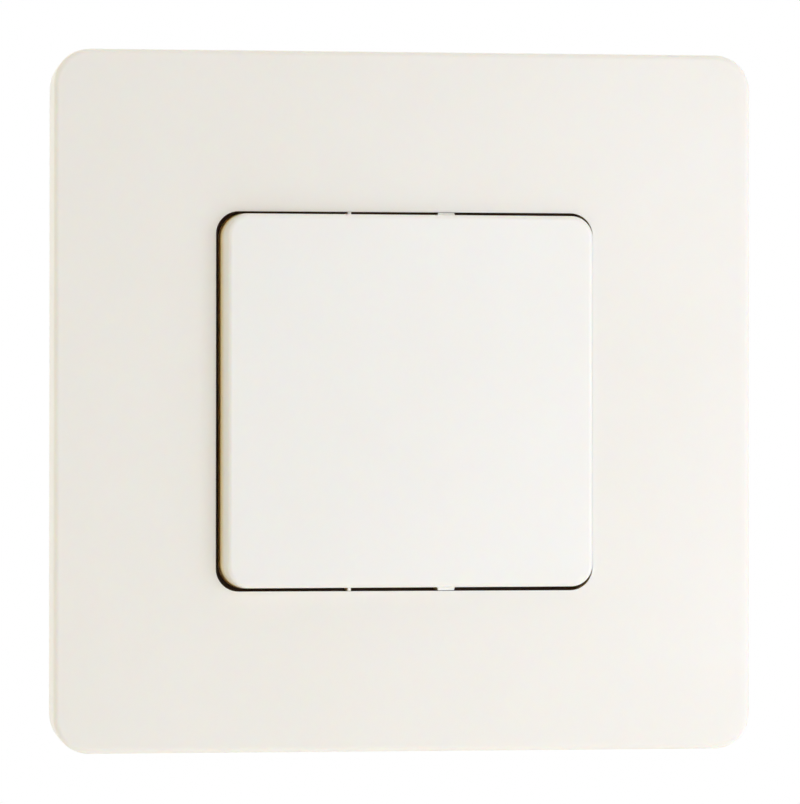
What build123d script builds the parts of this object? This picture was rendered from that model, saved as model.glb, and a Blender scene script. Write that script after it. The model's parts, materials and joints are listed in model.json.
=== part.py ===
from build123d import *
import os
from math import cos, radians, sin, tan

# Two-way light switch for a round wall box, in millimetres.
# X is right and Z is up, as the switch hangs on the wall. The wall is the plane y = 0 and the room is
# on its -Y side, so "out" below is a distance from the wall towards the room, and negative inside
# the wall box. The origin lies between the two box screws, in the wall plane.
# The rocker turns about an upright axis. It is modelled with its left end out, and the changeover
# blade inside lies as it does then.

# Wall plate
plate_front = 83.5
plate_out = 9.0
plate_draft = 3.0
plate_corner = 4.2
plate_edge = 0.7
plate_wall = 2.0

# Window in the wall plate, larger than the housing's height, with a collar behind its edge
window_margin = 4.2
window_corner = 2.7
window_draft = 5.0
collar_length = 4.2
collar_wall = 1.3

# Stiffening ribs behind the plate
plate_rib_wall = 1.0
plate_rib_height = 2.4
plate_rib_offset = 12.0

# Rocker: its pivot, its travel to each side of the middle, and its cap
pivot_out = 3.0
rocker_tilt = 2.3
cap_face = 7.9
cap_shoulder = 5.0
cap_skirt = 1.6
cap_left_gap = 0.34
cap_right_gap = 0.12
cap_side_gap = 0.36
cap_lift = 0.06
cap_left_slope = 14.0
cap_right_slope = 6.0
cap_draft = 3.0
cap_corner = 3.0
cap_face_corner = 2.5
cap_edge = 0.55
cap_wall = 2.0
cap_skirt_wall = 1.5

# Guide ribs on the rocker's upper and lower sides
guide_gap = 0.08
guide_depth = 3.2
guide_rise = 0.4
thin_guide_x = -7.0
thin_guide_width = 0.35
wide_guide_x = 4.65
wide_guide_root = 2.5
wide_guide_tip = 1.9

# Support frame of sheet steel, on the wall box
sheet = 1.2
support_size = 71.0
support_corner = 4.0
screw_spacing = 60.0
slot_width = 4.2
slot_length = 8.0
tab_length = 9.0
tab_height = 5.6
tab_x = 33.6
tab_z = 22.0
tab_relief = 0.8

# Cover clips, which snap into the holes of the support frame's tabs
clip_width = 5.0
clip_wall = 1.5
clip_nose = 1.1
clip_gap = 0.2
clip_hole_low = 2.2
clip_hole_high = 4.4
clip_lead = 1.2

# Housing: base in the wall box and cover on its front
base_width = 40.0
base_height = 41.0
base_corner = 2.5
base_depth = 20.0
base_wall = 1.6
base_floor = 2.0
housing_gap = 0.65
flange_overlap = 3.0
flange_thickness = 1.8
spigot_depth = 1.6
spigot_wall = 1.0
spigot_gap = 0.15
lug_width = 6.0
lug_reach = 1.1
lug_length = 2.6

# Trunnions of the actuator and their bearing cheeks
trunnion_radius = 1.5
trunnion_clearance = 0.06
beam_half_length = 13.5
beam_half_width = 3.2
end_play = 0.25
cheek_thickness = 2.4
cheek_height = 2.6
cheek_slope = 0.6
well_gap = 1.0
cheek_foot = 2.8
snap_mouth = 2.4

# Actuator deck, under the rocker cap, and the cap's snap legs
deck_height = 3.6
deck_thickness = 1.2
deck_half_width = 8.0
deck_half_length = 11.0
leg_width = 5.0
leg_wall = 1.3
leg_gap = 0.1
leg_nose = 0.8
leg_nose_height = 1.1
leg_z = 7.0
deck_rib_x = 5.0
deck_rib_wall = 1.2
skirt_rib_wall = 1.0
skirt_rib_height = 1.6

# Plunger, its tube in the actuator and its spring
plunger_radius = 1.98
plunger_clearance = 0.07
plunger_nose_radius = 1.48
plunger_tip_radius = 1.2
plunger_shoulder = 3.0
tube_wall = 1.35
tube_end = -8.0
tube_lip = 0.6
tube_top = 2.0
beam_foot = -2.0
spring_wire = 0.25
spring_radius = 1.45
spring_turns = 5
spring_wire_sides = 8

# Changeover blade, which rocks on the common terminal's saddle
blade_pivot_out = -10.0
blade_tilt = 4.46
blade_half_length = 10.8
blade_half_width = 2.6
blade_thickness = 0.8
blade_cheek_half_length = 4.0
blade_cheek_height = 1.2
blade_cheek_wall = 0.6
tip_gap = 0.06
contact_x = 9.0
contact_radius = 1.7
contact_height = 0.8
contact_crown = 0.3
contact_bevel = 0.15
rivet_shank_radius = 0.9
rivet_tail_radius = 1.3
rivet_tail_height = 0.3
contact_gap = 0.08

# Terminals
strip_thickness = 1.0
saddle_radius = 0.4
saddle_clearance = 0.05
saddle_half_width = 3.0
saddle_ear = 0.6
saddle_ear_height = 1.2
common_strip_half_width = 2.4
common_strip_end = 3.4
terminal_block = 8.0
terminal_height = 10.0
terminal_gap = 0.9
terminal_side_gap = 2.9
wire_radius = 2.3
wire_entry_radius = 1.8
wire_entry_funnel = 0.7
wire_stop = 1.6
chamber_gap = 0.2
chamber_wall = 1.0
chamber_depth = 12.0

# Clamp screws, whose heads are reached through the housing's upper and lower walls
screw_radius = 1.5
screw_out = -13.0
screw_tip_gap = 0.1
screw_neck = 0.6
screw_head_radius = 2.6
screw_head_height = 1.6
screw_slot = 0.7
screw_slot_depth = 0.8
screwdriver_radius = 3.1

# Rivets through cover and base, below its middle
housing_rivet_inset = 7.5
housing_rivet_radius = 1.1
housing_rivet_head = 2.0
housing_rivet_head_height = 0.7
rivet_post_radius = 2.8
rivet_post_gap = 0.2
rivet_recess = 0.9


def room_plane(out):
    """Plane at a distance from the wall, facing the room: its x is X and its y is Z."""
    return Plane(origin=(0, -out, 0), x_dir=(1, 0, 0), z_dir=(0, -1, 0))


def turned_plane(out, angle):
    """Room plane turned about its upright axis, its left side out for a positive angle."""
    return room_plane(out).rotated((0, 0, angle))


def section_of(plane, z=0):
    """Plane across the upright axis of another plane, at height z: its y is the other's normal."""
    return Plane(origin=plane.origin + plane.y_dir * z, x_dir=plane.x_dir, z_dir=plane.y_dir * -1)


def upright_plane(x, out, z, towards):
    """Plane that faces up or down at a point, for the clamp screws."""
    return Plane(origin=(x, -out, z), x_dir=(1, 0, 0), z_dir=(0, 0, towards))


def grown(draft, length):
    """How far a drafted wall moves sideways over a length."""
    return length * tan(radians(draft))


wall = room_plane(0)
rocker = turned_plane(pivot_out, rocker_tilt)
blade = turned_plane(blade_pivot_out, -blade_tilt)

plate_back = plate_front + 2 * grown(plate_draft, plate_out)
window = base_height + window_margin
collar_out = plate_out - collar_length
window_back = window + 2 * grown(window_draft, collar_length)
window_back_corner = window_corner + grown(window_draft, collar_length)
collar_size = window_back + 2 * collar_wall
cover_inside = plate_out - plate_wall

# Cover frame
with BuildPart() as cover_frame:
    with BuildSketch(wall):
        RectangleRounded(plate_back, plate_back, plate_corner + grown(plate_draft, plate_out))
    extrude(amount=plate_out, taper=plate_draft)
    fillet(cover_frame.faces().sort_by(Axis.Y)[0].edges(), radius=plate_edge)

    # The back is hollow as far as the front wall
    hollow_size = plate_back - 2 * plate_wall
    with BuildSketch(wall):
        RectangleRounded(hollow_size, hollow_size, plate_corner)
    extrude(amount=cover_inside, taper=plate_draft, mode=Mode.SUBTRACT)

    # Collar round the window, and ribs between the collar and the outer wall
    with BuildSketch(room_plane(collar_out)):
        RectangleRounded(collar_size, collar_size, window_back_corner + collar_wall)
    extrude(amount=cover_inside - collar_out)
    rib_room = (plate_back - 2 * plate_wall - collar_size) / 2 - grown(plate_draft, plate_out)
    rib_middle = (collar_size + rib_room) / 2
    with BuildSketch(room_plane(cover_inside - plate_rib_height)):
        with PolarLocations(rib_middle, 4):
            with Locations((0, plate_rib_offset), (0, -plate_rib_offset)):
                Rectangle(rib_room + 2 * plate_rib_wall, plate_rib_wall)
    extrude(amount=plate_rib_height)

    with BuildSketch(room_plane(collar_out)):
        RectangleRounded(window_back, window_back, window_back_corner)
    extrude(amount=collar_length, taper=window_draft, mode=Mode.SUBTRACT)

    # Four clips: a springy arm outside each tab, with a nose that fills the tab's hole at its front
    arm_inner = tab_x + sheet / 2 + clip_gap
    nose_tip = arm_inner - clip_nose
    nose_low = clip_hole_low + clip_gap
    with BuildSketch(section_of(wall, tab_z + clip_width / 2)):
        with BuildLine():
            Polyline(
                (arm_inner, cover_inside),
                (arm_inner, clip_hole_high),
                (nose_tip, clip_hole_high),
                (nose_tip, nose_low + clip_lead),
                (arm_inner, nose_low),
                (arm_inner + clip_wall, nose_low - clip_lead / 2),
                (arm_inner + clip_wall, cover_inside),
                close=True,
            )
        make_face()
    right_clip = extrude(amount=clip_width)
    left_clip = mirror(right_clip, about=Plane.YZ)
    mirror([right_clip, left_clip], about=Plane.XY)
cover_frame.part.label = "cover_frame"

# Rocker cap, in the rocker's own frame: heights are above the pivot
window_half = window / 2
cap_front_level = plate_out - pivot_out
left_x = window_half - cap_left_gap
right_x = window_half - cap_right_gap
face_left_x = left_x - grown(cap_left_slope, cap_face - cap_shoulder)
face_right_x = right_x - grown(cap_right_slope, cap_face - cap_shoulder)
level_z = window_half - cap_side_gap
face_z = level_z - grown(cap_draft, cap_face - cap_front_level)
shoulder_z = level_z + grown(cap_draft, cap_front_level - cap_shoulder)
skirt_z = level_z + grown(cap_draft, cap_front_level - cap_skirt)
cap_inside = cap_face - cap_wall
cap_middle_x = (right_x - left_x) / 2
skirt_room = left_x + right_x - 2 * cap_skirt_wall

with BuildPart() as rocker_cap:
    for height, left, right, half_z, corner in (
        (cap_skirt, left_x, right_x, skirt_z, cap_corner),
        (cap_shoulder, left_x, right_x, shoulder_z, cap_corner),
        (cap_face, face_left_x, face_right_x, face_z, cap_face_corner),
    ):
        with BuildSketch(rocker.offset(height)):
            with Locations(((right - left) / 2, cap_lift)):
                RectangleRounded(left + right, 2 * half_z, corner)
    loft(ruled=True)
    fillet(rocker_cap.faces().sort_by(Axis(rocker.origin, rocker.z_dir))[-1].edges(), radius=cap_edge)

    # Hollow from behind, tapering with the outside
    with BuildSketch(rocker.offset(cap_skirt)):
        with Locations((cap_middle_x, cap_lift)):
            RectangleRounded(skirt_room, 2 * (skirt_z - cap_skirt_wall), cap_corner - cap_skirt_wall / 2)
    extrude(amount=cap_inside - cap_skirt, taper=cap_draft, mode=Mode.SUBTRACT)

    # Two ribs that bear on the actuator's deck
    with BuildSketch(rocker.offset(deck_height)):
        with Locations((deck_rib_x, 0), (-deck_rib_x, 0)):
            Rectangle(deck_rib_wall, 2 * deck_half_length)
    extrude(amount=cap_inside - deck_height)

    # Low ribs across the cap, from skirt to skirt
    with BuildSketch(rocker.offset(cap_inside - skirt_rib_height)):
        with Locations((cap_middle_x, deck_half_length), (cap_middle_x, -deck_half_length)):
            Rectangle(skirt_room, skirt_rib_wall)
    extrude(amount=skirt_rib_height)

    # Four snap legs with noses under the edges of the deck
    leg_inner = deck_half_width + leg_gap
    deck_underside = deck_height - deck_thickness
    with BuildSketch(section_of(rocker, leg_z + leg_width / 2)):
        with BuildLine():
            Polyline(
                (leg_inner, cap_inside),
                (leg_inner, deck_underside),
                (leg_inner - leg_nose, deck_underside),
                (leg_inner, deck_underside - leg_nose_height),
                (leg_inner + leg_wall, deck_underside - leg_nose_height),
                (leg_inner + leg_wall, cap_inside),
                close=True,
            )
        make_face()
    right_leg = extrude(amount=leg_width)
    rocker_middle = Plane(origin=rocker.origin, x_dir=rocker.y_dir, z_dir=rocker.x_dir)
    left_leg = mirror(right_leg, about=rocker_middle)
    mirror([right_leg, left_leg], about=Plane.XY)

    # Guide ribs that keep the cap centred between the window's upper and lower edges
    guide_reach = window_half - guide_gap
    guide_root = level_z - cap_skirt_wall / 2
    with BuildSketch(rocker.offset(cap_front_level - guide_depth)):
        for side in (1, -1):
            with Locations((thin_guide_x, side * (guide_root + guide_reach) / 2)):
                Rectangle(thin_guide_width, guide_reach - guide_root)
            with BuildLine():
                Polyline(
                    (wide_guide_x - wide_guide_root / 2, side * guide_root),
                    (wide_guide_x - wide_guide_tip / 2, side * guide_reach),
                    (wide_guide_x + wide_guide_tip / 2, side * guide_reach),
                    (wide_guide_x + wide_guide_root / 2, side * guide_root),
                    close=True,
                )
            make_face()
    extrude(amount=guide_depth + guide_rise)
rocker_cap.part.label = "rocker_cap"

# Support frame: one stamped sheet
with BuildPart() as support_frame:
    opening_width = base_width + 2 * housing_gap
    opening_height = base_height + 2 * housing_gap
    with BuildSketch(wall):
        RectangleRounded(support_size, support_size, support_corner)
        RectangleRounded(opening_width, opening_height, base_corner, mode=Mode.SUBTRACT)
        with Locations((screw_spacing / 2, 0), (-screw_spacing / 2, 0)):
            SlotOverall(slot_length, slot_width, mode=Mode.SUBTRACT)
        with Locations((0, screw_spacing / 2), (0, -screw_spacing / 2)):
            SlotOverall(slot_length, slot_width, rotation=90, mode=Mode.SUBTRACT)
    extrude(amount=sheet)

    # Tabs cut from the sheet and bent forward, each with the opening that it leaves and a hole for a
    # clip's nose
    tab_opening = tab_height - sheet
    with BuildSketch(wall):
        with GridLocations(2 * (tab_x - sheet / 2 - tab_opening / 2), 2 * tab_z, 2, 2):
            Rectangle(tab_opening, tab_length)
        with GridLocations(2 * tab_x - tab_relief, 2 * tab_z + tab_length + tab_relief, 2, 2):
            Rectangle(sheet + tab_relief, tab_relief)
        with GridLocations(2 * tab_x - tab_relief, 2 * tab_z - tab_length - tab_relief, 2, 2):
            Rectangle(sheet + tab_relief, tab_relief)
    extrude(amount=sheet, mode=Mode.SUBTRACT)
    with BuildSketch(wall):
        with GridLocations(2 * tab_x, 2 * tab_z, 2, 2):
            Rectangle(sheet, tab_length)
    extrude(amount=tab_height)
    with BuildSketch(room_plane(clip_hole_low)):
        with GridLocations(2 * tab_x, 2 * tab_z, 2, 2):
            Rectangle(2 * sheet, clip_width + 2 * clip_gap)
    extrude(amount=clip_hole_high - clip_hole_low, mode=Mode.SUBTRACT)
support_frame.part.label = "support_frame"

# Housing cover
flange_width = opening_width + 2 * flange_overlap
flange_height = opening_height + 2 * flange_overlap
flange_out = sheet + flange_thickness
cheek_inner = beam_half_length + end_play
cheek_outer = cheek_inner + cheek_thickness
trunnion_bore = trunnion_radius + trunnion_clearance
spigot_width = base_width - 2 * (base_wall + spigot_gap)
spigot_height = base_height - 2 * (base_wall + spigot_gap)
well_half_width = beam_half_width + well_gap
housing_rivet_x = spigot_width / 2 - spigot_wall - rivet_post_gap - rivet_post_radius
housing_rivet_z = housing_rivet_inset - base_height / 2

with BuildPart() as mechanism_cover:
    with BuildSketch(room_plane(sheet)):
        RectangleRounded(flange_width, flange_height, base_corner + flange_overlap)
    extrude(amount=flange_thickness)
    fillet(mechanism_cover.faces().sort_by(Axis.Y)[0].edges(), radius=flange_thickness / 4)

    # Spigot that centres the cover in the base
    with BuildSketch(room_plane(sheet - spigot_depth)):
        RectangleRounded(spigot_width, spigot_height, base_corner - base_wall / 2)
        offset(amount=-spigot_wall, mode=Mode.SUBTRACT)
    extrude(amount=spigot_depth)

    # Well for the actuator, and the two bearing cheeks across its ends
    with BuildSketch(room_plane(sheet)):
        Rectangle(2 * well_half_width, 2 * cheek_outer)
    extrude(amount=flange_thickness, mode=Mode.SUBTRACT)
    with BuildSketch(room_plane(pivot_out - cheek_foot)):
        with GridLocations(0, 2 * (cheek_inner + cheek_thickness / 2), 1, 2):
            Rectangle(2 * well_half_width, cheek_thickness)
    extrude(amount=flange_out - pivot_out + cheek_foot)
    with BuildSketch(section_of(room_plane(pivot_out), cheek_outer)):
        with BuildLine():
            Polyline(
                (-well_half_width, 0),
                (well_half_width, 0),
                (beam_half_width - cheek_slope, cheek_height),
                (cheek_slope - beam_half_width, cheek_height),
                close=True,
            )
        make_face()
    upper_cheek = extrude(amount=cheek_thickness)
    mirror(upper_cheek, about=Plane.XY)
    with BuildSketch(section_of(room_plane(pivot_out), cheek_outer)):
        Circle(trunnion_bore)
        with Locations((0, cheek_height / 2)):
            Rectangle(snap_mouth, cheek_height)
    extrude(amount=2 * cheek_outer, mode=Mode.SUBTRACT)

    # Holes for the housing rivets
    with Locations(room_plane(flange_out)):
        with Locations((housing_rivet_x, housing_rivet_z), (-housing_rivet_x, housing_rivet_z)):
            Hole(housing_rivet_radius, depth=flange_thickness)
mechanism_cover.part.label = "mechanism_cover"

# Levels inside the housing, worked out from the blade at its closed position
floor_out = -base_depth + base_floor
crown_radius = (contact_radius**2 + contact_crown**2) / (2 * contact_crown)
crown_centre = crown_radius - contact_height
closed_level = (
    blade_pivot_out
    - contact_x * sin(radians(blade_tilt))
    + crown_centre * cos(radians(blade_tilt))
    - crown_radius
    - contact_gap
)
strip_top = closed_level - contact_height
strip_underside = strip_top - strip_thickness
block_outer_z = base_height / 2 - base_wall - terminal_gap
block_inner_z = block_outer_z - terminal_block
terminal_x = base_width / 2 - base_wall - terminal_side_gap - terminal_block / 2
terminal_z = (block_inner_z + block_outer_z) / 2
terminals = ((0, -1, "common"), (-terminal_x, 1, "1"), (terminal_x, 1, "2"))

# Housing base
with BuildPart() as mechanism_base:
    with BuildSketch(room_plane(-base_depth)):
        RectangleRounded(base_width, base_height, base_corner)
    extrude(amount=base_depth + sheet)
    fillet(mechanism_base.faces().sort_by(Axis.Y)[-1].edges(), radius=base_wall / 2)
    with BuildSketch(room_plane(floor_out)):
        RectangleRounded(base_width - 2 * base_wall, base_height - 2 * base_wall, base_corner - base_wall / 2)
    extrude(amount=sheet - floor_out, mode=Mode.SUBTRACT)

    # Plinths under the contact pads and under the common strip
    pad_half = contact_radius + strip_thickness
    with BuildSketch(room_plane(floor_out)):
        with GridLocations(2 * contact_x, 0, 2, 1):
            Rectangle(2 * pad_half, 2 * pad_half)
        with Locations((0, (common_strip_end - block_inner_z) / 2)):
            Rectangle(2 * common_strip_half_width, common_strip_end + block_inner_z)
    extrude(amount=strip_underside - floor_out)

    # Chamber walls beside each terminal
    chamber_inner = terminal_block / 2 + chamber_gap
    wall_length = base_height / 2 - base_wall - block_inner_z
    with BuildSketch(room_plane(floor_out)):
        for x, side, _ in terminals:
            with Locations((x, side * (block_inner_z + wall_length / 2))):
                with GridLocations(2 * chamber_inner + chamber_wall, 0, 2, 1):
                    Rectangle(chamber_wall, wall_length)
    extrude(amount=chamber_depth)

    # Posts for the rivets
    with BuildSketch(room_plane(floor_out)):
        with Locations((housing_rivet_x, housing_rivet_z), (-housing_rivet_x, housing_rivet_z)):
            Circle(rivet_post_radius)
    extrude(amount=sheet - floor_out)
    with Locations(room_plane(sheet)):
        with Locations((housing_rivet_x, housing_rivet_z), (-housing_rivet_x, housing_rivet_z)):
            Hole(housing_rivet_radius, depth=base_depth + sheet)
    with BuildSketch(room_plane(-base_depth)):
        with Locations((housing_rivet_x, housing_rivet_z), (-housing_rivet_x, housing_rivet_z)):
            Circle(housing_rivet_head + spigot_gap)
    extrude(amount=rivet_recess, mode=Mode.SUBTRACT)

    # Wire entries in the rear wall, with a funnel, and screwdriver holes in the upper and lower walls
    for x, side, _ in terminals:
        with BuildSketch(room_plane(floor_out)):
            with Locations((x, side * terminal_z)):
                Circle(wire_entry_radius)
        extrude(amount=-base_floor, mode=Mode.SUBTRACT)
        with BuildSketch(upright_plane(x, screw_out, side * base_height / 2, side)):
            Circle(screwdriver_radius)
        extrude(amount=-base_wall, mode=Mode.SUBTRACT)
    entries = mechanism_base.faces().sort_by(Axis.Y)[-1].edges().filter_by(GeomType.CIRCLE)
    chamfer(entries.filter_by(lambda edge: abs(edge.radius - wire_entry_radius) < spigot_gap), wire_entry_funnel)

    # Snap lugs that hook behind the support frame
    with BuildSketch(section_of(wall, lug_width / 2)):
        with BuildLine():
            Polyline(
                (base_width / 2, 0),
                (base_width / 2 + lug_reach, 0),
                (base_width / 2, -lug_length),
                close=True,
            )
        make_face()
    right_lug = extrude(amount=lug_width)
    mirror(right_lug, about=Plane.YZ)
mechanism_base.part.label = "mechanism_base"

# Actuator, in the rocker's frame
tube_bore = plunger_radius + plunger_clearance
tube_radius = tube_bore + tube_wall
with BuildPart() as actuator:
    # Beam along the pivot axis, with its back chamfered
    with BuildSketch(section_of(rocker, beam_half_length)):
        with BuildLine():
            Polyline(
                (-beam_half_width, deck_underside),
                (-beam_half_width, beam_foot / 2),
                (beam_foot / 2, beam_foot),
                (-beam_foot / 2, beam_foot),
                (beam_half_width, beam_foot / 2),
                (beam_half_width, deck_underside),
                close=True,
            )
        make_face()
    extrude(amount=2 * beam_half_length)

    # Deck under the cap
    with BuildSketch(rocker.offset(deck_underside)):
        RectangleRounded(2 * deck_half_width, 2 * deck_half_length, deck_thickness)
    extrude(amount=deck_thickness)

    # Tube for the plunger, closed at the front
    with BuildSketch(rocker.offset(tube_end)):
        Circle(tube_radius)
    extrude(amount=deck_underside - tube_end)

    # Trunnions, a little shorter than the well
    trunnion_end = cheek_outer - end_play
    with BuildSketch(section_of(rocker, trunnion_end)):
        Circle(trunnion_radius)
    extrude(amount=2 * trunnion_end)

    # Bore with a lip at its lower end
    with BuildSketch(rocker.offset(tube_end + tube_lip)):
        Circle(tube_bore)
    extrude(amount=tube_top - tube_end - tube_lip, mode=Mode.SUBTRACT)
    with BuildSketch(rocker.offset(tube_end)):
        Circle(plunger_nose_radius + plunger_clearance)
    extrude(amount=tube_lip, mode=Mode.SUBTRACT)
actuator.part.label = "actuator"

# Plunger, resting on the lip of the tube
blade_top = blade_pivot_out + blade_thickness
tip_centre = blade_top + plunger_tip_radius + tip_gap - pivot_out
shoulder_foot = tube_end + tube_lip
shoulder_top = shoulder_foot + plunger_shoulder
with BuildPart() as plunger:
    with BuildSketch(section_of(rocker)):
        with BuildLine():
            Polyline(
                (0, tip_centre - plunger_tip_radius),
                (0, shoulder_top),
                (plunger_radius, shoulder_top),
                (plunger_radius, shoulder_foot),
                (plunger_nose_radius, shoulder_foot),
                (plunger_nose_radius, tip_centre + plunger_tip_radius),
                (plunger_tip_radius, tip_centre),
            )
            RadiusArc((plunger_tip_radius, tip_centre), (0, tip_centre - plunger_tip_radius), plunger_tip_radius)
        make_face()
    revolve(axis=Axis(rocker.origin, rocker.z_dir))
plunger.part.label = "plunger"

# Plunger spring, from the plunger's shoulder to the closed end of the tube. Its wire has flat sides, so
# that the many turns stay light.
spring_foot = shoulder_top + spring_wire
spring_length = tube_top - shoulder_top - 2 * spring_wire
with BuildPart() as plunger_spring:
    with BuildLine() as coil:
        Helix(
            pitch=spring_length / spring_turns,
            height=spring_length,
            radius=spring_radius,
            center=rocker.offset(spring_foot).origin,
            direction=rocker.z_dir,
        )
    with BuildSketch(coil.line ^ 0):
        RegularPolygon(spring_wire, spring_wire_sides)
    sweep(is_frenet=True)
plunger_spring.part.label = "plunger_spring"

# Changeover blade, in its own frame: the pivot lies on its underside
with BuildPart() as contact_bar:
    with BuildSketch(blade):
        RectangleRounded(2 * blade_half_length, 2 * blade_half_width, blade_half_width / 2)
    extrude(amount=blade_thickness)
    with BuildSketch(blade.offset(blade_thickness)):
        with GridLocations(0, 2 * blade_half_width - blade_cheek_wall, 1, 2):
            Rectangle(2 * blade_cheek_half_length, blade_cheek_wall)
    extrude(amount=blade_cheek_height)
    with BuildSketch(section_of(blade, blade_half_width)):
        Circle(saddle_radius + saddle_clearance)
    extrude(amount=2 * blade_half_width, mode=Mode.SUBTRACT)
    with BuildSketch(blade):
        with GridLocations(2 * contact_x, 0, 2, 1):
            Circle(rivet_shank_radius)
    extrude(amount=blade_thickness, mode=Mode.SUBTRACT)
contact_bar.part.label = "contact_bar"

parts = [
    cover_frame.part,
    rocker_cap.part,
    support_frame.part,
    mechanism_cover.part,
    mechanism_base.part,
    actuator.part,
    plunger.part,
    plunger_spring.part,
    contact_bar.part,
]

# Contacts: a crowned rivet at each end of the blade and a flat one on each traveller terminal
for side, number in ((-1, "1"), (1, "2")):
    with BuildPart() as moving_contact:
        centre = side * contact_x
        with BuildSketch(section_of(blade)):
            with BuildLine():
                Polyline(
                    (centre, -contact_height),
                    (centre, blade_thickness + rivet_tail_height),
                    (centre + rivet_tail_radius, blade_thickness + rivet_tail_height),
                    (centre + rivet_tail_radius, blade_thickness),
                    (centre + rivet_shank_radius, blade_thickness),
                    (centre + rivet_shank_radius, 0),
                    (centre + contact_radius, 0),
                    (centre + contact_radius, contact_crown - contact_height),
                )
                RadiusArc(
                    (centre + contact_radius, contact_crown - contact_height),
                    (centre, -contact_height),
                    crown_radius,
                )
            make_face()
        revolve(axis=Axis(blade.origin + blade.x_dir * centre, blade.z_dir))
    moving_contact.part.label = f"moving_contact_{number}"
    parts.append(moving_contact.part)

    with BuildPart() as fixed_contact:
        with BuildSketch(room_plane(strip_top)):
            with Locations((side * contact_x, 0)):
                Circle(contact_radius)
        extrude(amount=contact_height)
        chamfer(fixed_contact.faces().sort_by(Axis.Y)[0].edges(), contact_bevel)
        with BuildSketch(room_plane(strip_top)):
            with Locations((side * contact_x, 0)):
                Circle(rivet_shank_radius)
        extrude(amount=-strip_thickness)
    fixed_contact.part.label = f"fixed_contact_{number}"
    parts.append(fixed_contact.part)


def terminal_clamp(x, side):
    """Clamp body of a terminal, with its blind wire hole and its threaded screw hole."""
    with BuildPart() as clamp:
        with BuildSketch(room_plane(floor_out)):
            with Locations((x, side * terminal_z)):
                Rectangle(terminal_block, terminal_block)
        extrude(amount=terminal_height)
        with BuildSketch(room_plane(floor_out)):
            with Locations((x, side * terminal_z)):
                Circle(wire_radius)
        extrude(amount=terminal_height - wire_stop, mode=Mode.SUBTRACT)
        with BuildSketch(upright_plane(x, screw_out, side * block_outer_z, side)):
            Circle(screw_radius)
        extrude(amount=-terminal_block / 2, mode=Mode.SUBTRACT)
    return clamp.part


# Common terminal: clamp, strip and the saddle on which the blade rocks
common_clamp = terminal_clamp(0, -1)
with BuildPart() as common_terminal:
    add(common_clamp)
    with BuildSketch(room_plane(strip_underside)):
        with Locations((0, (common_strip_end - block_inner_z) / 2)):
            Rectangle(2 * common_strip_half_width, common_strip_end + block_inner_z)
    extrude(amount=strip_thickness)
    with BuildSketch(section_of(room_plane(blade_pivot_out), saddle_half_width)):
        Circle(saddle_radius)
        with Locations((0, (strip_top - blade_pivot_out) / 2)):
            Rectangle(2 * saddle_radius, blade_pivot_out - strip_top)
    extrude(amount=2 * saddle_half_width)
    with BuildSketch(room_plane(strip_top)):
        with GridLocations(0, 2 * saddle_half_width, 1, 2):
            Rectangle(4 * saddle_radius, saddle_ear)
    extrude(amount=blade_pivot_out + saddle_ear_height - strip_top)
common_terminal.part.label = "common_terminal"
parts.append(common_terminal.part)

# Traveller terminals: clamp and strip, with the hole of the contact rivet in its pad
for side, number in ((-1, "1"), (1, "2")):
    traveller_clamp = terminal_clamp(side * terminal_x, 1)
    with BuildPart() as traveller_terminal:
        add(traveller_clamp)
        pad_inner = contact_x - contact_radius - strip_thickness / 2
        pad_outer = contact_x + contact_radius + strip_thickness / 2
        with BuildSketch(room_plane(strip_underside)):
            with BuildLine():
                Polyline(
                    (side * pad_inner, -contact_radius - strip_thickness / 2),
                    (side * pad_outer, -contact_radius - strip_thickness / 2),
                    (side * pad_outer, contact_radius),
                    (side * (terminal_x + contact_radius), block_inner_z / 2),
                    (side * (terminal_x + contact_radius), block_inner_z),
                    (side * contact_x, block_inner_z),
                    (side * pad_inner, block_inner_z / 2),
                    close=True,
                )
            make_face()
            with Locations((side * contact_x, 0)):
                Circle(rivet_shank_radius, mode=Mode.SUBTRACT)
        extrude(amount=strip_thickness)
    traveller_terminal.part.label = f"traveller_terminal_{number}"
    parts.append(traveller_terminal.part)

# Clamp screws, backed off so that the wire holes are free
for x, side, name in terminals:
    with BuildPart() as terminal_screw:
        head_foot = side * (block_outer_z + screw_neck)
        tip = side * (terminal_z + wire_radius + screw_tip_gap)
        with BuildSketch(upright_plane(x, screw_out, tip, side)):
            Circle(screw_radius)
        extrude(amount=abs(head_foot - tip))
        with BuildSketch(upright_plane(x, screw_out, head_foot, side)):
            Circle(screw_head_radius)
        extrude(amount=screw_head_height)
        with BuildSketch(upright_plane(x, screw_out, head_foot + side * screw_head_height, side)):
            Rectangle(2 * screw_head_radius, screw_slot)
        extrude(amount=-screw_slot_depth, mode=Mode.SUBTRACT)
    terminal_screw.part.label = f"terminal_screw_{name}"
    parts.append(terminal_screw.part)

# Housing rivets, headed on the cover's front and in a recess behind the base
for side, number in ((-1, "1"), (1, "2")):
    with BuildPart() as housing_rivet:
        rivet_foot = rivet_recess - base_depth
        with BuildSketch(room_plane(rivet_foot)):
            with Locations((side * housing_rivet_x, housing_rivet_z)):
                Circle(housing_rivet_radius)
        extrude(amount=flange_out - rivet_foot)
        with BuildSketch(room_plane(flange_out), room_plane(rivet_foot - housing_rivet_head_height)):
            with Locations((side * housing_rivet_x, housing_rivet_z)):
                Circle(housing_rivet_head)
        extrude(amount=housing_rivet_head_height)
    housing_rivet.part.label = f"housing_rivet_{number}"
    parts.append(housing_rivet.part)

os.makedirs("parts", exist_ok=True)
for part in parts:
    export_step(part, f"parts/{part.label}.step")
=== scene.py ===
import bpy
import json
from math import cos, radians, sin
from mathutils import Matrix, Vector

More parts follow.
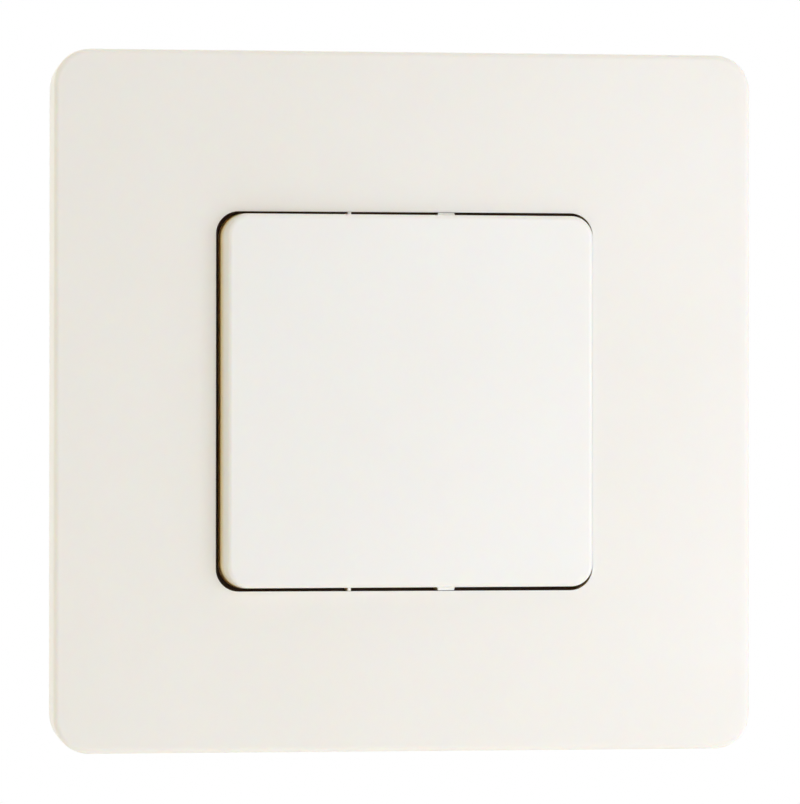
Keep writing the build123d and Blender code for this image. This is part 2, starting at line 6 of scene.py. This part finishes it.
# Looks of the two-way light switch: ivory cover frame and rocker, zinc-plated support frame, dark brown
# housing, and the metal pieces of its changeover mechanism. Metres, in the frame of the CAD model: X is
# right, Z is up, and the wall is the plane y = 0 with the room on its -Y side.

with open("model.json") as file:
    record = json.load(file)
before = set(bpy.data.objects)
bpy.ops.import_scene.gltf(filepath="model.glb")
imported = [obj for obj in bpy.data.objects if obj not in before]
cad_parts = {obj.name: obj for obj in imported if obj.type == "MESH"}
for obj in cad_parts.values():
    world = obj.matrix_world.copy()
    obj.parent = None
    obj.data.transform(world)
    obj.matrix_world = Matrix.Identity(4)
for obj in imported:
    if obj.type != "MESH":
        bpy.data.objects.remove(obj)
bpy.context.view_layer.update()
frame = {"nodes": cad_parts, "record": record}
nodes_of_switch = frame["nodes"]

mm = 0.001

# Camera, worked out from the plate's outline in the photograph, which is 804 pixels high
photo_height = 804
focal_pixels = 3687
film_size = 36
camera_distance = 440 * mm
camera_turn = radians(5.89)
camera_rise = radians(-0.172)
camera_roll = radians(0.0465)
near_limit = 10 * mm
aim = Vector((-0.629, -9, -0.055)) * mm

# Soft boxes: a large one at the right of the camera, and a faint one under the rocker
side_box_place = Vector((240, -370, 0)) * mm
side_box_aim = Vector((0, 0, 0))
side_box_size = 300 * mm
side_box_power = 0.73
side_box_tone = (0.965, 1.01, 1.22)
low_box_place = Vector((0, -40, -145)) * mm
low_box_aim = Vector((0, 0, -40)) * mm
low_box_size = 200 * mm
low_box_power = 0.017
low_box_tone = (1.0, 1.0, 1.0)

# Light of the room by direction: its strength in front, at the sides and behind the wall, what the left
# and the upper directions have more than their opposites, and its tone at the left and elsewhere
front_light = 0.05
side_light = 1.14
rear_light = 0.94
left_excess = 0.05
rear_left_excess = 0.20
rear_upper_excess = 0.15
room_white = (0.985, 0.995, 0.99)
room_left_warmth = (1.02, 0.985, 0.87)

# Where that light changes, in Y or X of the direction
front_to_side = (-1.05, -0.1)
side_to_rear = (-0.25, 0.15)
left_to_rest = (-0.7, 0.2)

# Floor, and how far from its middle it turns white
floor_height = -160 * mm
floor_half = 1500 * mm
shadow_reach = 300 * mm
paper_tone = (0.86, 0.86, 0.85)
paper_sheen = (0.75, 0.85)

# Plastics: index of refraction, and how far red, green and blue light spread under the surface
plastic_index = 1.53
glow_reach = 0.5 * mm
glow_spread = (1.0, 0.70, 0.45)

# Painted shade in the gap round the rocker: its brown, painted on the ivory where the gap's shade falls,
# the way in which each moulding faces at rest, the depths at which the paint starts and is all brown,
# and how far from the middle the window's wall is and the painted shade ends
gap_shade_tone = (0.92, 0.71, 0.33)
plate_faces = (0, -1, 0)
rocker_turn = radians(2.3)
rocker_faces = (sin(rocker_turn), -cos(rocker_turn), 0)
plate_unshaded_above = 8.9 * mm
plate_brown_below = 8.3 * mm
rocker_unshaded_above = 9.3 * mm
rocker_brown_below = 7.9 * mm
window_wall = 23.1 * mm
painted_shade_end = 23.4 * mm

# Patterns of the finishes, in cycles per metre
fine_grain = 4000.0
housing_grain = 5200.0
moulding_waves = 160.0
moulding_clouds = 45.0
sheen_spots = 700.0
rolled_lines = 900.0
metal_spots = 900.0
tarnish_film = 130.0
paper_clouds = 40.0

# Share of the waves in a moulding's relief, and how much finer the lines are across the metal's grain
wave_share = 2.2
line_stretch = 12.0

# Turn of the metals' grain: along X, or along Z
level = (0, 0, 0)
upright = (0, radians(90), 0)

# Ranges in which most values of one noise lie, and of the sum of two
one_noise = (0.3, 0.7)
film_noise = (0.4, 0.7)
two_noises = (0.7, 1.3)
two_wide_noises = (0.6, 1.4)


def place_camera():
    """Camera at the photograph's angle, a little to the left of the switch."""
    back = Vector((
        -sin(camera_turn) * cos(camera_rise),
        -cos(camera_turn) * cos(camera_rise),
        sin(camera_rise),
    ))
    level_right = (-back).cross(Vector((0, 0, 1))).normalized()
    level_up = level_right.cross(-back)
    right = cos(camera_roll) * level_right + sin(camera_roll) * level_up
    up = -sin(camera_roll) * level_right + cos(camera_roll) * level_up
    data = bpy.data.cameras.new("photo_camera")
    data.sensor_width = film_size
    data.lens = focal_pixels * film_size / photo_height
    data.clip_start = near_limit
    camera = bpy.data.objects.new("photo_camera", data)
    turn = Matrix((right, up, back)).transposed().to_4x4()
    camera.matrix_world = Matrix.Translation(aim + camera_distance * back) @ turn
    bpy.context.scene.collection.objects.link(camera)
    bpy.context.scene.camera = camera


def soft_lamp(name, place, target, size, power, tone):
    """Square soft box that faces a point."""
    data = bpy.data.lights.new(name, "AREA")
    data.shape = "SQUARE"
    data.size = size
    data.energy = power
    data.color = tone
    lamp = bpy.data.objects.new(name, data)
    lamp.location = place
    lamp.rotation_euler = (target - place).to_track_quat("-Z", "Y").to_euler()
    bpy.context.scene.collection.objects.link(lamp)


def group_value(group, kind, out, name, value=None):
    """New socket of a node group."""
    socket = group.interface.new_socket(name, in_out="OUTPUT" if out else "INPUT", socket_type=kind)
    if value is not None:
        socket.default_value = value


def noise(tree, vector, scale, detail=2.0, roughness=0.5):
    """Noise texture on a vector, with its scale in cycles per metre."""
    node = tree.nodes.new("ShaderNodeTexNoise")
    node.inputs["Scale"].default_value = scale
    node.inputs["Detail"].default_value = detail
    node.inputs["Roughness"].default_value = roughness
    tree.links.new(vector, node.inputs["Vector"])
    return node.outputs["Fac"]


def ramp(tree, value, low, high, out_low=0.0, out_high=1.0):
    """Value stretched from low..high to out_low..out_high."""
    node = tree.nodes.new("ShaderNodeMapRange")
    node.inputs["From Min"].default_value = low
    node.inputs["From Max"].default_value = high
    node.inputs["To Min"].default_value = out_low
    node.inputs["To Max"].default_value = out_high
    tree.links.new(value, node.inputs["Value"])
    return node.outputs["Result"]


def calculate(tree, operation, first, second):
    """Math on two sockets or numbers."""
    node = tree.nodes.new("ShaderNodeMath")
    node.operation = operation
    for socket, value in zip(node.inputs, (first, second)):
        if isinstance(value, (int, float)):
            socket.default_value = value
        else:
            tree.links.new(value, socket)
    return node.outputs[0]


def stretched(tree, vector, scale):
    """Vector scaled along its axes, for grain that runs one way."""
    node = tree.nodes.new("ShaderNodeMapping")
    node.vector_type = "POINT"
    node.inputs["Scale"].default_value = scale
    tree.links.new(vector, node.inputs["Vector"])
    return node.outputs["Vector"]


def moulded_surface_group():
    """Surface of a moulding: fine eroded grain, a soft waviness and faint clouds of tone."""
    group = bpy.data.node_groups.new("moulded_surface", "ShaderNodeTree")
    group_value(group, "NodeSocketVector", False, "Place")
    group_value(group, "NodeSocketFloat", False, "Grain per metre", fine_grain)
    group_value(group, "NodeSocketFloat", True, "Height")
    group_value(group, "NodeSocketFloat", True, "Clouds")
    group_value(group, "NodeSocketFloat", True, "Sheen change")
    start = group.nodes.new("NodeGroupInput")
    end = group.nodes.new("NodeGroupOutput")
    place = start.outputs["Place"]
    grain_noise = group.nodes.new("ShaderNodeTexNoise")
    grain_noise.inputs["Detail"].default_value = 3.0
    group.links.new(place, grain_noise.inputs["Vector"])
    group.links.new(start.outputs["Grain per metre"], grain_noise.inputs["Scale"])
    waves = calculate(group, "MULTIPLY", noise(group, place, moulding_waves, detail=1.0), wave_share)
    height = calculate(group, "ADD", grain_noise.outputs["Fac"], waves)
    clouds = noise(group, place, moulding_clouds, detail=3.0, roughness=0.6)
    sheen = calculate(group, "ADD", noise(group, place, sheen_spots, detail=4.0), clouds)
    group.links.new(height, end.inputs["Height"])
    group.links.new(ramp(group, clouds, *one_noise), end.inputs["Clouds"])
    group.links.new(ramp(group, sheen, *two_noises), end.inputs["Sheen change"])
    return group


def worked_metal_group():
    """Surface of sheet or drawn metal: lines of the roll or die, spots and a film of tarnish."""
    group = bpy.data.node_groups.new("worked_metal", "ShaderNodeTree")
    group_value(group, "NodeSocketVector", False, "Place along the grain")
    group_value(group, "NodeSocketFloat", False, "Spots per metre", metal_spots)
    group_value(group, "NodeSocketFloat", True, "Height")
    group_value(group, "NodeSocketFloat", True, "Tarnish")
    group_value(group, "NodeSocketFloat", True, "Sheen change")
    start = group.nodes.new("NodeGroupInput")
    end = group.nodes.new("NodeGroupOutput")
    place = start.outputs["Place along the grain"]
    along_grain = stretched(group, place, (1.0, line_stretch, line_stretch))
    lines = noise(group, along_grain, rolled_lines, detail=3.0, roughness=0.65)
    spots = group.nodes.new("ShaderNodeTexNoise")
    spots.inputs["Detail"].default_value = 4.0
    spots.inputs["Roughness"].default_value = 0.6
    group.links.new(place, spots.inputs["Vector"])
    group.links.new(start.outputs["Spots per metre"], spots.inputs["Scale"])
    film = ramp(group, noise(group, place, tarnish_film, detail=4.0, roughness=0.6), *film_noise)
    tarnish = calculate(group, "MULTIPLY", film, ramp(group, spots.outputs["Fac"], *one_noise))
    sheen = calculate(group, "ADD", lines, spots.outputs["Fac"])
    group.links.new(lines, end.inputs["Height"])
    group.links.new(tarnish, end.inputs["Tarnish"])
    group.links.new(ramp(group, sheen, *two_wide_noises), end.inputs["Sheen change"])
    return group


def gap_shade_mask_group():
    """Painted brown shade in the gap round the rocker: 1 deep in it, 0 at its edge and past the window.
    """
    group = bpy.data.node_groups.new("gap_shade_mask", "ShaderNodeTree")
    group_value(group, "NodeSocketVector", False, "Place")
    group_value(group, "NodeSocketVector", False, "Outwards")
    group_value(group, "NodeSocketFloat", False, "Unshaded above")
    group_value(group, "NodeSocketFloat", False, "Brown below")
    group_value(group, "NodeSocketFloat", True, "Painted shade")
    start = group.nodes.new("NodeGroupInput")
    end = group.nodes.new("NodeGroupOutput")
    height = group.nodes.new("ShaderNodeVectorMath")
    height.operation = "DOT_PRODUCT"
    group.links.new(start.outputs["Place"], height.inputs[0])
    group.links.new(start.outputs["Outwards"], height.inputs[1])
    deep = ramp(group, height.outputs["Value"], 0.0, 1.0)
    group.links.new(start.outputs["Unshaded above"], deep.node.inputs["From Min"])
    group.links.new(start.outputs["Brown below"], deep.node.inputs["From Max"])
    place = group.nodes.new("ShaderNodeSeparateXYZ")
    group.links.new(start.outputs["Place"], place.inputs[0])
    sideways = calculate(group, "ABSOLUTE", place.outputs["X"], 0.0)
    upwards = calculate(group, "ABSOLUTE", place.outputs["Z"], 0.0)
    in_window = ramp(group, calculate(group, "MAXIMUM", sideways, upwards), painted_shade_end, window_wall)
    group.links.new(calculate(group, "MULTIPLY", deep, in_window), end.inputs["Painted shade"])
    return group


def seen_rays(tree):
    """1 for the rays that show a surface to the camera, directly, in a gloss or through glass."""
    rays = tree.nodes.new("ShaderNodeLightPath").outputs
    direct_or_gloss = calculate(tree, "MAXIMUM", rays["Is Camera Ray"], rays["Is Glossy Ray"])
    return calculate(tree, "MAXIMUM", direct_or_gloss, rays["Is Transmission Ray"])


def light_studio():
    """Soft box at the right of the camera, in a pale room that is brightest at the switch's sides."""
    soft_lamp(
        "window_side_box", side_box_place, side_box_aim, side_box_size, side_box_power, side_box_tone)
    soft_lamp("low_box", low_box_place, low_box_aim, low_box_size, low_box_power, low_box_tone)
    world = bpy.data.worlds.new("white_room")
    world.use_nodes = True
    bpy.context.scene.world = world
    tree = world.node_tree
    nodes = tree.nodes
    links = tree.links
    room = nodes["Background"]
    direction = nodes.new("ShaderNodeSeparateXYZ")
    links.new(nodes.new("ShaderNodeTexCoord").outputs["Generated"], direction.inputs[0])
    left = calculate(tree, "MULTIPLY", direction.outputs["X"], -rear_left_excess)
    above = calculate(tree, "MULTIPLY", direction.outputs["Z"], rear_upper_excess)
    rear = calculate(tree, "ADD", calculate(tree, "ADD", left, above), rear_light)
    before = ramp(tree, direction.outputs["Y"], *front_to_side, front_light, side_light)
    behind = ramp(tree, direction.outputs["Y"], *side_to_rear, side_light)
    before.node.interpolation_type = behind.node.interpolation_type = "SMOOTHSTEP"
    links.new(rear, behind.node.inputs["To Max"])
    around = calculate(tree, "MINIMUM", before, behind)
    sideways = calculate(tree, "MULTIPLY", direction.outputs["X"], -left_excess)
    links.new(calculate(tree, "ADD", around, sideways), room.inputs["Strength"])
    room_tone = nodes.new("ShaderNodeMix")
    room_tone.data_type = "RGBA"
    room_tone.inputs["A"].default_value = (*room_left_warmth, 1)
    room_tone.inputs["B"].default_value = (*room_white, 1)
    links.new(ramp(tree, direction.outputs["X"], *left_to_rest), room_tone.inputs["Factor"])
    links.new(room_tone.outputs["Result"], room.inputs["Color"])
    seen = nodes.new("ShaderNodeBackground")
    seen.inputs["Color"].default_value = (1, 1, 1, 1)
    mix = nodes.new("ShaderNodeMixShader")
    links.new(seen_rays(tree), mix.inputs[0])
    links.new(room.outputs[0], mix.inputs[1])
    links.new(seen.outputs[0], mix.inputs[2])
    links.new(mix.outputs[0], nodes["World Output"].inputs["Surface"])


moulded_surface = moulded_surface_group()
worked_metal = worked_metal_group()
gap_shade_mask = gap_shade_mask_group()


def start_material(name):
    """Material with its shader and its object coordinates."""
    material = bpy.data.materials.new(name)
    material.use_nodes = True
    tree = material.node_tree
    shader = tree.nodes["Principled BSDF"]
    place = tree.nodes.new("ShaderNodeTexCoord").outputs["Object"]
    return material, tree, shader, place


def two_tones(tree, shader, mask, tone, other):
    """Base colour that changes between two tones by a mask."""
    mix = tree.nodes.new("ShaderNodeMix")
    mix.data_type = "RGBA"
    mix.inputs["A"].default_value = (*tone, 1)
    mix.inputs["B"].default_value = (*other, 1)
    tree.links.new(mask, mix.inputs["Factor"])
    tree.links.new(mix.outputs["Result"], shader.inputs["Base Color"])
    return mix.outputs["Result"]


def paint_gap_shade(tree, shader, place, unshaded_tone, outwards, unshaded_above, brown_below):
    """Base colour that turns to painted brown shade deep in the gap round the rocker."""
    shade_mask = tree.nodes.new("ShaderNodeGroup")
    shade_mask.node_tree = gap_shade_mask
    shade_mask.inputs["Outwards"].default_value = outwards
    shade_mask.inputs["Unshaded above"].default_value = unshaded_above
    shade_mask.inputs["Brown below"].default_value = brown_below
    tree.links.new(place, shade_mask.inputs["Place"])
    mix = tree.nodes.new("ShaderNodeMix")
    mix.data_type = "RGBA"
    mix.inputs["B"].default_value = (*gap_shade_tone, 1)
    tree.links.new(shade_mask.outputs["Painted shade"], mix.inputs["Factor"])
    tree.links.new(unshaded_tone, mix.inputs["A"])
    tree.links.new(mix.outputs["Result"], shader.inputs["Base Color"])


def raised(tree, shader, height, depth):
    """Bump of a height from 0 to 1 over a depth in metres."""
    bump = tree.nodes.new("ShaderNodeBump")
    bump.inputs["Distance"].default_value = depth
    tree.links.new(height, bump.inputs["Height"])
    tree.links.new(bump.outputs["Normal"], shader.inputs["Normal"])


def moulding(name, tone, cloud_tone, sheen, grain_depth, glow=0.0, grain_per_metre=fine_grain, gap=None):
    """Moulded plastic: two close tones, a roughness that varies between two values, and fine grain."""
    material, tree, shader, place = start_material(name)
    surface = tree.nodes.new("ShaderNodeGroup")
    surface.node_tree = moulded_surface
    surface.inputs["Grain per metre"].default_value = grain_per_metre
    tree.links.new(place, surface.inputs["Place"])
    unshaded_tone = two_tones(tree, shader, surface.outputs["Clouds"], tone, cloud_tone)
    # Painted shade: deep in the gap round the rocker the base colour turns brown, where the gap's shade
    # falls
    if gap:
        paint_gap_shade(tree, shader, place, unshaded_tone, *gap)
    rough = ramp(tree, surface.outputs["Sheen change"], 0.0, 1.0, *sheen)
    tree.links.new(rough, shader.inputs["Roughness"])
    raised(tree, shader, surface.outputs["Height"], grain_depth)
    shader.inputs["IOR"].default_value = plastic_index
    if glow:
        shader.inputs["Subsurface Weight"].default_value = glow
        shader.inputs["Subsurface Radius"].default_value = glow_spread
        shader.inputs["Subsurface Scale"].default_value = glow_reach
    return material


def metal(name, tone, tarnish_tone, sheen, line_depth, grain_turn=level, spots_per_metre=metal_spots):
    """Bare or plated metal with working lines along its grain and a thin tarnish."""
    material, tree, shader, place = start_material(name)
    turned = tree.nodes.new("ShaderNodeMapping")
    turned.inputs["Rotation"].default_value = grain_turn
    tree.links.new(place, turned.inputs["Vector"])
    surface = tree.nodes.new("ShaderNodeGroup")
    surface.node_tree = worked_metal
    surface.inputs["Spots per metre"].default_value = spots_per_metre
    tree.links.new(turned.outputs["Vector"], surface.inputs["Place along the grain"])
    two_tones(tree, shader, surface.outputs["Tarnish"], tone, tarnish_tone)
    rough = ramp(tree, surface.outputs["Sheen change"], 0.0, 1.0, *sheen)
    tree.links.new(rough, shader.inputs["Roughness"])
    raised(tree, shader, surface.outputs["Height"], line_depth)
    shader.inputs["Metallic"].default_value = 1.0
    return material


def make_finishes():
    """Finish of each material slot of the switch."""
    return {
        "plate_ivory": moulding(
            "plate_ivory", (0.919, 0.880, 0.797), (0.909, 0.868, 0.780), (0.30, 0.40), 2e-6, glow=0.5,
            gap=(plate_faces, plate_unshaded_above, plate_brown_below)),
        "rocker_ivory": moulding(
            "rocker_ivory", (0.914, 0.886, 0.814), (0.904, 0.874, 0.796), (0.29, 0.37), 2e-6, glow=0.5,
            gap=(rocker_faces, rocker_unshaded_above, rocker_brown_below)),
        "zinc_plated_steel": metal(
            "zinc_plated_steel", (0.62, 0.63, 0.62), (0.48, 0.50, 0.52), (0.30, 0.48), 4e-6,
            spots_per_metre=700.0),
        "housing_brown": moulding(
            "housing_brown", (0.085, 0.033, 0.006), (0.105, 0.043, 0.010), (0.40, 0.58), 8e-6,
            grain_per_metre=housing_grain),
        "actuator_grey": moulding(
            "actuator_grey", (0.33, 0.32, 0.28), (0.29, 0.28, 0.245), (0.36, 0.46), 4e-6),
        "plunger_nylon": moulding(
            "plunger_nylon", (0.72, 0.70, 0.62), (0.66, 0.63, 0.55), (0.32, 0.42), 3e-6, glow=0.5),
        "spring_steel": metal(
            "spring_steel", (0.42, 0.42, 0.43), (0.26, 0.25, 0.25), (0.29, 0.40), 2e-6, upright, 3000.0),
        "contact_copper": metal(
            "contact_copper", (0.80, 0.44, 0.28), (0.52, 0.24, 0.14), (0.29, 0.42), 3e-6,
            spots_per_metre=1300.0),
        "contact_silver": metal(
            "contact_silver", (0.86, 0.85, 0.82), (0.60, 0.58, 0.52), (0.28, 0.37), 2e-6,
            spots_per_metre=2400.0),
        "terminal_brass": metal(
            "terminal_brass", (0.80, 0.62, 0.30), (0.60, 0.42, 0.18), (0.29, 0.44), 4e-6, upright),
        "screw_steel": metal(
            "screw_steel", (0.66, 0.63, 0.52), (0.50, 0.46, 0.34), (0.29, 0.44), 3e-6, upright, 1500.0),
        "rivet_brass": metal(
            "rivet_brass", (0.78, 0.62, 0.33), (0.58, 0.42, 0.20), (0.29, 0.42), 3e-6,
            spots_per_metre=1500.0),
    }


def dress_nodes(finishes):
    """Gives each piece of the model its finish."""
    slots = {part["node"]: part["material_slot"] for part in frame["record"]["subparts"]}
    for name, piece in nodes_of_switch.items():
        for slot in piece.material_slots:
            slot.material = finishes[slots[name]]


def lay_floor():
    """Pale floor well below the switch, which fades into the white room round it."""
    bpy.ops.object.select_all(action="DESELECT")
    bpy.ops.mesh.primitive_plane_add(size=2 * floor_half, location=(0, 0, floor_height))
    floor = bpy.context.object
    floor.name = "pale_floor"
    material, tree, shader, place = start_material("floor_paper")
    shader.inputs["Base Color"].default_value = (*paper_tone, 1)
    rough = ramp(tree, noise(tree, place, paper_clouds, detail=3.0), *one_noise, *paper_sheen)
    tree.links.new(rough, shader.inputs["Roughness"])
    far = tree.nodes.new("ShaderNodeVectorMath")
    far.operation = "LENGTH"
    tree.links.new(place, far.inputs[0])
    fade = ramp(tree, far.outputs["Value"], 0.0, shadow_reach)
    fade.node.interpolation_type = "SMOOTHSTEP"
    white = tree.nodes.new("ShaderNodeEmission")
    white.inputs["Color"].default_value = (1, 1, 1, 1)
    mix = tree.nodes.new("ShaderNodeMixShader")
    tree.links.new(calculate(tree, "MULTIPLY", seen_rays(tree), fade), mix.inputs[0])
    tree.links.new(shader.outputs[0], mix.inputs[1])
    tree.links.new(white.outputs[0], mix.inputs[2])
    tree.links.new(mix.outputs[0], tree.nodes["Material Output"].inputs["Surface"])
    floor.data.materials.append(material)


place_camera()
light_studio()
dress_nodes(make_finishes())
lay_floor()
bpy.context.scene.view_settings.view_transform = "Standard"
